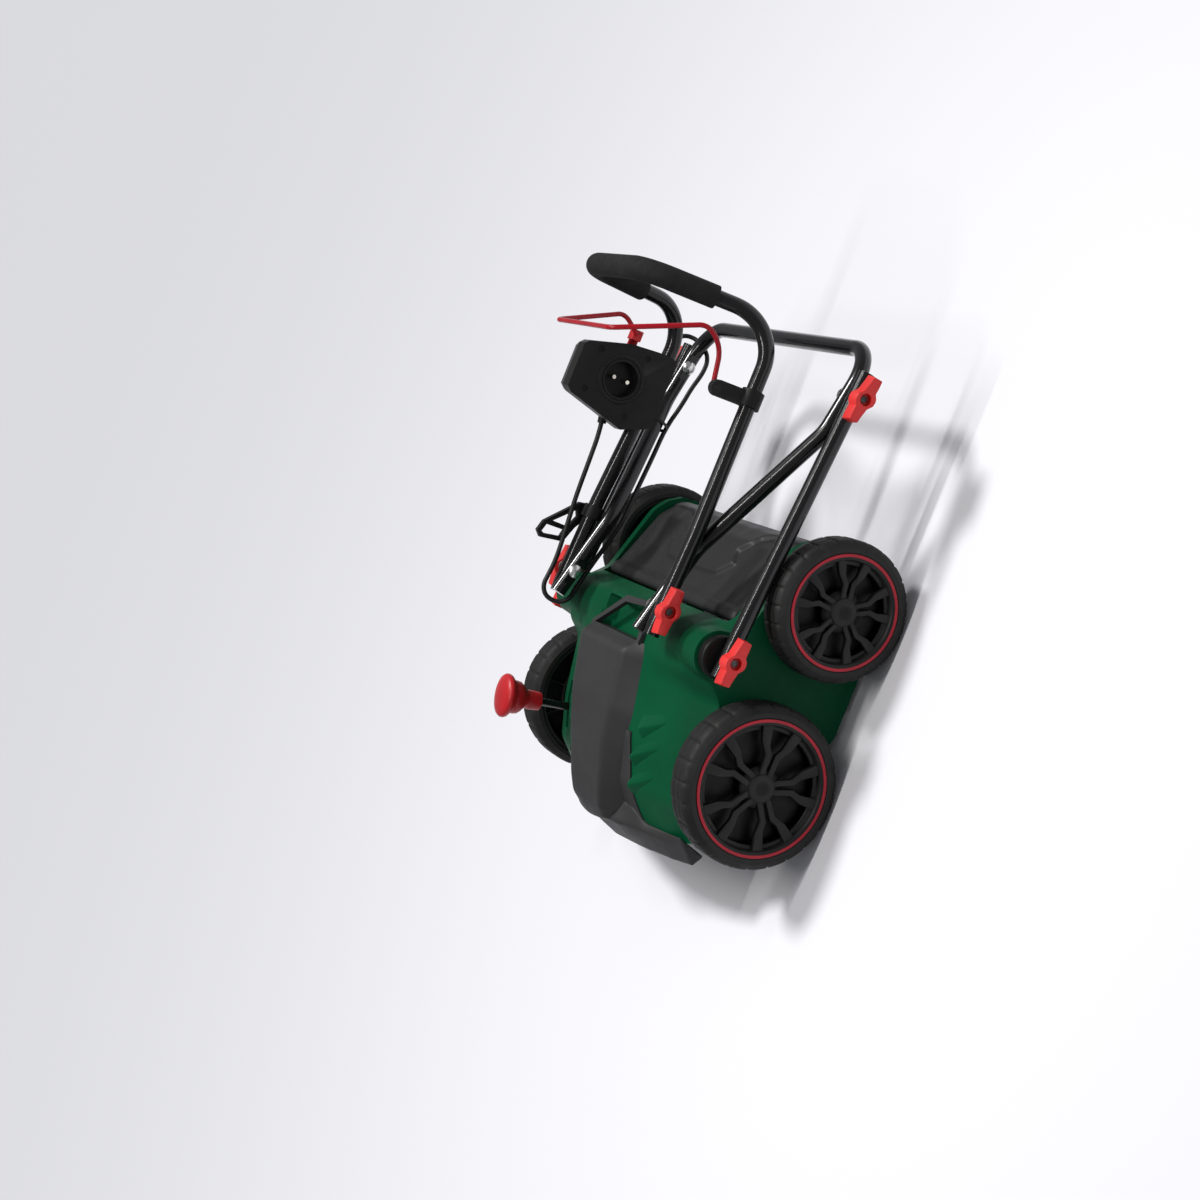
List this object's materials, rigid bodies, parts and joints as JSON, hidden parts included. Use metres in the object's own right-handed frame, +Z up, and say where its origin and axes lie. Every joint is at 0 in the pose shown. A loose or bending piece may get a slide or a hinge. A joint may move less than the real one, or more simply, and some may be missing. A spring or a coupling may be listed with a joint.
{
  "type": "electric lawn scarifier",
  "caption": "Walk-behind electric lawn scarifier with its handle folded flat over the deck: wheels, tine roller, depth lever, rear flap, bail switch and mains inlet.",
  "frame": {"origin": "middle of the footprint on the ground, with the handle folded", "axes": "+X to the operator's left along the axles, +Y to the rear, +Z up"},
  "size_m": [0.542, 0.6434, 0.4],
  "materials": {
    "deck_green": "satin moulded plastic",
    "cover_grey": "satin moulded plastic",
    "tube_black": "gloss powder coat",
    "box_black": "fine moulded texture",
    "grip_black": "soft foam sleeve",
    "red_plastic": "moulded plastic",
    "red_paint": "gloss powder coat",
    "zinc": "bright zinc plate",
    "tine_steel": "stamped spring steel",
    "pin_brass": "nickel-plated brass",
    "rim_black": "satin moulded plastic",
    "tyre_black": "moulded tread",
    "flap_rubber": "satin moulded plastic",
    "belt_rubber": "toothed rubber",
    "cable_rubber": "smooth sheath"
  },
  "bodies": {
    "deck": {"deck_shell": "deck_green", "motor_bonnet": "cover_grey", "intake_surround": "cover_grey", "front_bumper": "cover_grey", "handle_bosses": "cover_grey", "boss_bolts": "zinc", "motor_housing": "box_black", "drive_belt": "belt_rubber", "roller_bearings": "zinc", "rear_axle": "zinc", "flap_hinge_pin": "zinc", "deck_cable": "cable_rubber"},
    "motor_rotor": {"motor_shaft": "zinc", "motor_fan": "rim_black", "motor_pulley": "rim_black"},
    "roller": {"roller_shaft": "zinc", "roller_tines": "tine_steel", "roller_pulley": "rim_black"},
    "depth_axle": {"front_axle": "zinc", "depth_lever": "zinc", "lever_knob": "red_plastic"},
    "rear_flap": {"rear_flap": "flap_rubber"},
    "lower_frame": {"left_strut": "tube_black", "right_strut": "tube_black", "strut_cable": "cable_rubber"},
    "middle_frame": {"middle_frame": "tube_black", "frame_bolts": "zinc", "frame_cable": "cable_rubber", "elbow_cable": "cable_rubber", "fold_cable": "cable_rubber"},
    "upper_handle": {"upper_handle": "tube_black", "handle_grip": "grip_black", "switch_box_front": "box_black", "switch_box_back": "box_black", "box_screws": "zinc", "mains_inlet": "box_black", "inlet_pins": "pin_brass", "bail_bracket": "box_black", "cable_hook": "box_black", "upper_cable": "cable_rubber"},
    "lock_button": {"lock_button": "red_plastic"},
    "bail": {"bail": "red_paint", "bail_lever": "red_plastic"},
    "left_front_wheel": {"left_front_rim": "rim_black", "left_front_tyre": "tyre_black"},
    "left_rear_wheel": {"left_rear_rim": "rim_black", "left_rear_tyre": "tyre_black"},
    "left_boss_nut": {"left_boss_nut": "red_plastic"},
    "left_elbow_nut": {"left_elbow_nut": "red_plastic"},
    "left_upper_nut": {"left_upper_nut": "red_plastic"},
    "right_front_wheel": {"right_front_rim": "rim_black", "right_front_tyre": "tyre_black"},
    "right_rear_wheel": {"right_rear_rim": "rim_black", "right_rear_tyre": "tyre_black"},
    "right_boss_nut": {"right_boss_nut": "red_plastic"},
    "right_elbow_nut": {"right_elbow_nut": "red_plastic"},
    "right_upper_nut": {"right_upper_nut": "red_plastic"}
  },
  "joints": [
    {"name": "lower_fold", "type": "hinge", "parent": "deck", "child": "lower_frame", "pos_m": [0, -0.06915, 0.1835], "axis": [1, 0, 0], "range_deg": [0, 55], "deforming": ["deck_cable"]},
    {"name": "mid_fold", "type": "hinge", "parent": "lower_frame", "child": "middle_frame", "pos_m": [0, 0.25325, 0.1577], "axis": [-1, 0, 0], "range_deg": [0, 170], "deforming": ["elbow_cable"]},
    {"name": "upper_fold", "type": "hinge", "parent": "middle_frame", "child": "upper_handle", "pos_m": [0, -0.04425, 0.237], "axis": [1, 0, 0], "range_deg": [0, 150], "deforming": ["fold_cable"]},
    {"name": "flap_lift", "type": "hinge", "parent": "deck", "child": "rear_flap", "pos_m": [0, -0.02175, 0.16], "axis": [1, 0, 0], "range_deg": [0, 22]},
    {"name": "depth_set", "type": "hinge", "parent": "deck", "child": "depth_axle", "pos_m": [0, -0.22775, 0.1], "axis": [1, 0, 0], "range_deg": [-14, 14]},
    {"name": "roller_spin", "type": "hinge", "parent": "deck", "child": "roller", "pos_m": [0, -0.07975, 0.07], "axis": [1, 0, 0], "continuous": true},
    {"name": "motor_spin", "type": "hinge", "parent": "deck", "child": "motor_rotor", "pos_m": [0, -0.18275, 0.14], "axis": [1, 0, 0], "continuous": true},
    {"name": "bail_squeeze", "type": "hinge", "parent": "upper_handle", "child": "bail", "pos_m": [0, 0.21125, 0.27], "axis": [1, 0, 0], "range_deg": [-22, 0], "stiffness_Nm_per_rad": 1.2, "springref_deg": 6.88},
    {"name": "lock_press", "type": "slide", "parent": "upper_handle", "child": "lock_button", "axis": [1, 0, 0], "range_m": [0, 0.003], "stiffness_N_per_m": 400, "springref_m": -0.001},
    {"name": "left_front_wheel_spin", "type": "hinge", "parent": "depth_axle", "child": "left_front_wheel", "pos_m": [0, -0.18775, 0.095], "axis": [1, 0, 0], "continuous": true},
    {"name": "left_rear_wheel_spin", "type": "hinge", "parent": "deck", "child": "left_rear_wheel", "pos_m": [0, 0.02825, 0.082], "axis": [1, 0, 0], "continuous": true},
    {"name": "left_boss_nut_turn", "type": "hinge", "parent": "deck", "child": "left_boss_nut", "pos_m": [0, -0.06915, 0.1835], "axis": [1, 0, 0], "continuous": true},
    {"name": "left_elbow_nut_turn", "type": "hinge", "parent": "middle_frame", "child": "left_elbow_nut", "pos_m": [0, 0.25325, 0.1577], "axis": [1, 0, 0], "continuous": true},
    {"name": "left_upper_nut_turn", "type": "hinge", "parent": "middle_frame", "child": "left_upper_nut", "pos_m": [0, -0.04425, 0.237], "axis": [1, 0, 0], "continuous": true},
    {"name": "right_front_wheel_spin", "type": "hinge", "parent": "depth_axle", "child": "right_front_wheel", "pos_m": [0, -0.18775, 0.095], "axis": [1, 0, 0], "continuous": true},
    {"name": "right_rear_wheel_spin", "type": "hinge", "parent": "deck", "child": "right_rear_wheel", "pos_m": [0, 0.02825, 0.082], "axis": [1, 0, 0], "continuous": true},
    {"name": "right_boss_nut_turn", "type": "hinge", "parent": "deck", "child": "right_boss_nut", "pos_m": [0, -0.06915, 0.1835], "axis": [1, 0, 0], "continuous": true},
    {"name": "right_elbow_nut_turn", "type": "hinge", "parent": "middle_frame", "child": "right_elbow_nut", "pos_m": [0, 0.25325, 0.1577], "axis": [1, 0, 0], "continuous": true},
    {"name": "right_upper_nut_turn", "type": "hinge", "parent": "middle_frame", "child": "right_upper_nut", "pos_m": [0, -0.04425, 0.237], "axis": [1, 0, 0], "continuous": true}
  ],
  "couplings": [
    {"joint": "motor_spin", "follows": "roller_spin", "ratio": 2.5714}
  ]
}
